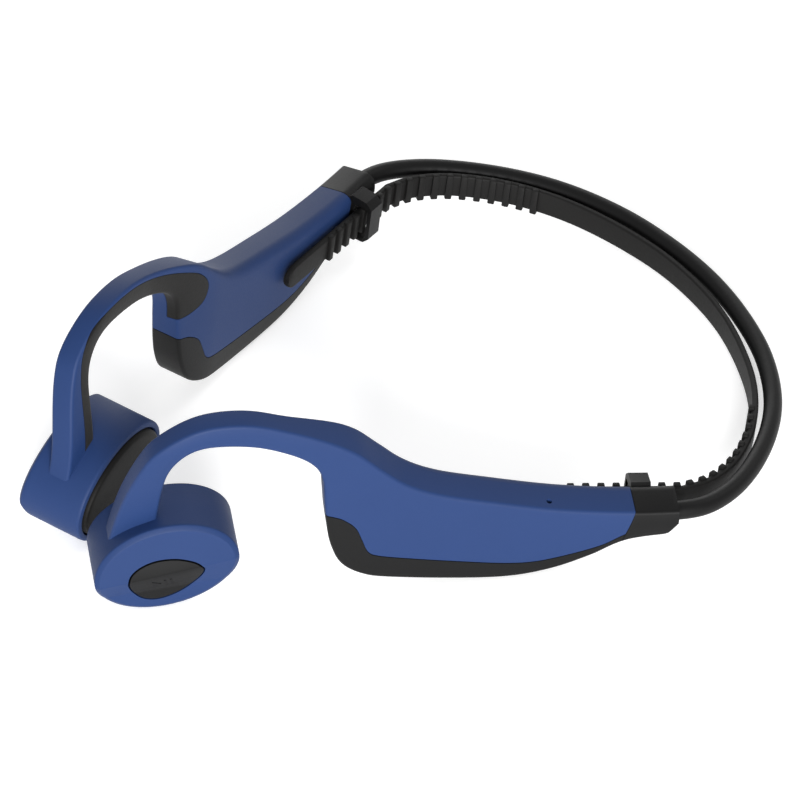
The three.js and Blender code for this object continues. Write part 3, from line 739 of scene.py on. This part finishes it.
def strap_cut(s0, s1, ribs=(), free_end=False):
    """The strap from s0 to s1, measured along it, with a rib at each place in ribs."""
    keep = (length > s0 + 1e-6) & (length < s1 - 1e-6)
    ends = [strap_at(s) for s in (s0, s1)]
    path = np.r_[[ends[0]], strap_full[keep], [ends[1]]]
    if s1 >= length[-1] - 1e-6:
        path[-1] = STRAP_MIDDLE
    if free_end:
        head = [ends[0] + (path[1] - ends[0]) / np.linalg.norm(path[1] - ends[0]) * step
                for step in END_STEPS]
        far = np.linalg.norm(path - ends[0], axis=1) > END_LENGTH
        path = np.r_[[ends[0]], head, path[far]]
    middle, r = (STRAP_LOW + STRAP_HIGH) / 2, (STRAP_HIGH - STRAP_LOW) / 2

    def section(k):
        run = np.linalg.norm(path[k] - ends[0])
        high = math.sqrt(max(0.02, 1 - max(0, 1 - run / r) ** 2)) if free_end else 1
        return [(u, middle + (z - middle) * high) for u, z in strip]

    form = swept(path, section)
    blocks = []
    for s in ribs:
        p, q = strap_at(s), strap_at(s + 0.5)
        along = (q - p) / np.linalg.norm(q - p)
        block = bevelled(new_object(
            [(u, w, z) for u in (0.1, STRAP_THICK / 2 + RIB_OUT)
             for w in (-RIB_WIDE / 2, RIB_WIDE / 2)
             for z in (STRAP_LOW - RIB_OVER, STRAP_HIGH + RIB_OVER)],
            [(0, 1, 3, 2), (4, 5, 7, 6), (0, 1, 5, 4), (2, 3, 7, 6), (0, 2, 6, 4),
             (1, 3, 7, 5)]), RIB_ROUND)
        moved(block, Matrix(((-along[1], along[0], 0, p[0]), (along[0], along[1], 0, p[1]),
                             (0, 0, 1, 0), (0, 0, 0, 1))))
        blocks.append(block)
    bm = bmesh.new()
    for obj in [form] + blocks:
        bm.from_mesh(obj.data)
    bm.to_mesh(form.data)
    bm.free()
    drop_object(*blocks)
    return form


link_end = float(np.interp(-LINK_END_X, -strap_full[:, 0], length))
rib_at = [TAIL_RIBS + RIB_PITCH * k for k in range(19)]
tail = strap_cut(0, TAIL_END, [s for s in rib_at if s < TAIL_END - 1], True)
link = strap_cut(TAIL_END, link_end, [s for s in rib_at if TAIL_END + 1 < s < link_end - 2])
rear = strap_cut(link_end, length[-1])

# ------------------------------------------------------------------ both sides
LEVEL = Matrix.Identity(4)
# Points given with each piece that spans two bodies; the piece is baked in place without a bend.
BAND_BEND = (26, 68.8, BAND_Z), (0.5, 73.6, BAND_Z)
STRAP_BEND = (26, 65, 4), (0.5, 69.9, 4)
LINK_STRETCH = (52.5, 38.5, 4), (38.5, 57.5, 4)
for side in SIDES:
    body, strap_body = f"{side}_arm", f"{side}_strap"
    emit(left_shell if side == "left" else shell, "arm_shell_form", side, BLUE, body,
         [f"{side}_arm_shell"])
    emit(lower if side == "left" else right_lower, "lower_shell_form", side, BLACK, body,
         [f"{side}_lower_shell"])
    emit(liner, "hook_liner_form", side, SOFT, body, [f"{side}_hook_liner"])
    emit(collar, "collar_form", side, BLACK, body, [f"{side}_collar"])
    emit(pod, "pod_shell_form", side, BLUE, body, [f"{side}_pod_shell"], ARM @ POD)
    emit(pad, "pad_form", side, SOFT, body, [f"{side}_pad"], ARM @ POD)
    emit(band_form, "band_form", side, RUBBER, None,
         [f"{side}_band_sleeve", "band_sleeve_middle"], LEVEL, between=(body, "band", *BAND_BEND))
    emit(tail, "strap_tail_form", side, STRAP, strap_body, [f"{side}_strap_tail"], LEVEL)
    emit(link, "strap_link_form", side, STRAP, None, [f"{side}_strap_side"], LEVEL,
         between=(strap_body, body, *LINK_STRETCH))
    emit(rear, "strap_rear_form", side, STRAP, None, ["strap_middle"], LEVEL,
         between=(body, "band", *STRAP_BEND))
BUTTON_SHARP = 25                       # degrees
emit(button, "play_pause_button_form", "", BLACK, "play_button", ["play_pause_button"],
     ARM @ POD, BUTTON_SHARP)
emit(mark, "play_mark", "", MARK, "play_button", (), ARM @ POD)
emit(button, "pod_inlay_form", "right", BLACK, "right_arm", ["right_pod_inlay"],
     ARM @ POD, BUTTON_SHARP)
for cap, name in zip(volume_caps, ("volume_up", "volume_down")):
    emit(cap, f"{name}_cap", "right", BLACK, name, [f"{name}_button"])
emit(cover, "charge_cover_form", "right", SOFT, "cover", ["charge_cover"])
drop_object(shell, left_shell, lower, right_lower, liner, collar, pod, pad, button, mark,
            band_form, tail, link, rear, cover, *volume_caps)

# Inner pieces keep their CAD shapes and get better finishes.
FINISHES = (("battery", FOIL), ("radio_shield", FOIL), ("voice_coil", COPPER),
            ("board", BOARD), ("sleeve", SOFT), ("strap", SOFT), ("pad", SOFT),
            ("liner", SOFT), ("cover", SOFT))
for name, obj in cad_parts.items():
    for slot in obj.material_slots:
        slot.material = next((m for word, m in FINISHES if word in name), STEEL)

# ------------------------------------------------------------------ floor, light, camera
FLOOR_HALF, FLOOR_Z, FLOOR_GLOW, WORLD_GLOW = 4, -0.0002, 0.35, 0.55
floor = bpy.data.objects.new("floor", bpy.data.meshes.new("floor"))
floor.data.from_pydata([(x * FLOOR_HALF, y * FLOOR_HALF, FLOOR_Z)
                        for x, y in ((-1, -1), (1, -1), (1, 1), (-1, 1))], [], [(0, 1, 2, 3)])
shader = WHITE.node_tree.nodes["Principled BSDF"]
shader.inputs["Emission Color"].default_value = (1, 1, 1, 1)
shader.inputs["Emission Strength"].default_value = FLOOR_GLOW
floor.data.materials.append(WHITE)
bpy.context.scene.collection.objects.link(floor)

world = bpy.data.worlds.new("studio")
world.use_nodes = True
sky = world.node_tree.nodes["Background"]
sky.inputs["Color"].default_value = (1, 1, 1, 1)
sky.inputs["Strength"].default_value = WORLD_GLOW
bpy.context.scene.world = world


def softbox(name, place, size, power, aim=(0, 0, 0.01)):
    """Round area light aimed at the object. Metres and watts."""
    data = bpy.data.lights.new(name, "AREA")
    data.shape, data.size, data.energy = "DISK", size, power
    lamp = bpy.data.objects.new(name, data)
    lamp.location = place
    lamp.rotation_euler = (Vector(aim) - Vector(place)).to_track_quat("-Z", "Y").to_euler()
    bpy.context.scene.collection.objects.link(lamp)


softbox("key", (1.36, -0.80, 0.50), 0.8, 46)
softbox("rim", (-0.1, 1.2, 1.2), 0.6, 4)
softbox("fill", (-1.5, 0.75, 0.55), 1.3, 11)

bpy.context.scene.view_settings.view_transform = "Standard"

# The photo's viewing angle. Distances are in metres, the lens and sensor in millimetres.
CAMERA_AZIMUTH, CAMERA_ELEVATION = math.radians(57.38), math.radians(42.37)
CAMERA_AWAY, LENS, SENSOR = 1.5513, 356.3, 36
target = Vector(SEAT) * 0.001
back = Vector((math.sin(CAMERA_AZIMUTH) * math.cos(CAMERA_ELEVATION),
               -math.cos(CAMERA_AZIMUTH) * math.cos(CAMERA_ELEVATION),
               math.sin(CAMERA_ELEVATION)))
camera = bpy.data.objects.new("camera", bpy.data.cameras.new("camera"))
camera.data.sensor_width = SENSOR
camera.data.lens = LENS
camera.location = target + back * CAMERA_AWAY
camera.rotation_mode = "QUATERNION"
camera.rotation_quaternion = (-back).to_track_quat("-Z", "Y")
camera.data.clip_start, camera.data.clip_end = 0.05, 20
bpy.context.scene.collection.objects.link(camera)
bpy.context.scene.camera = camera
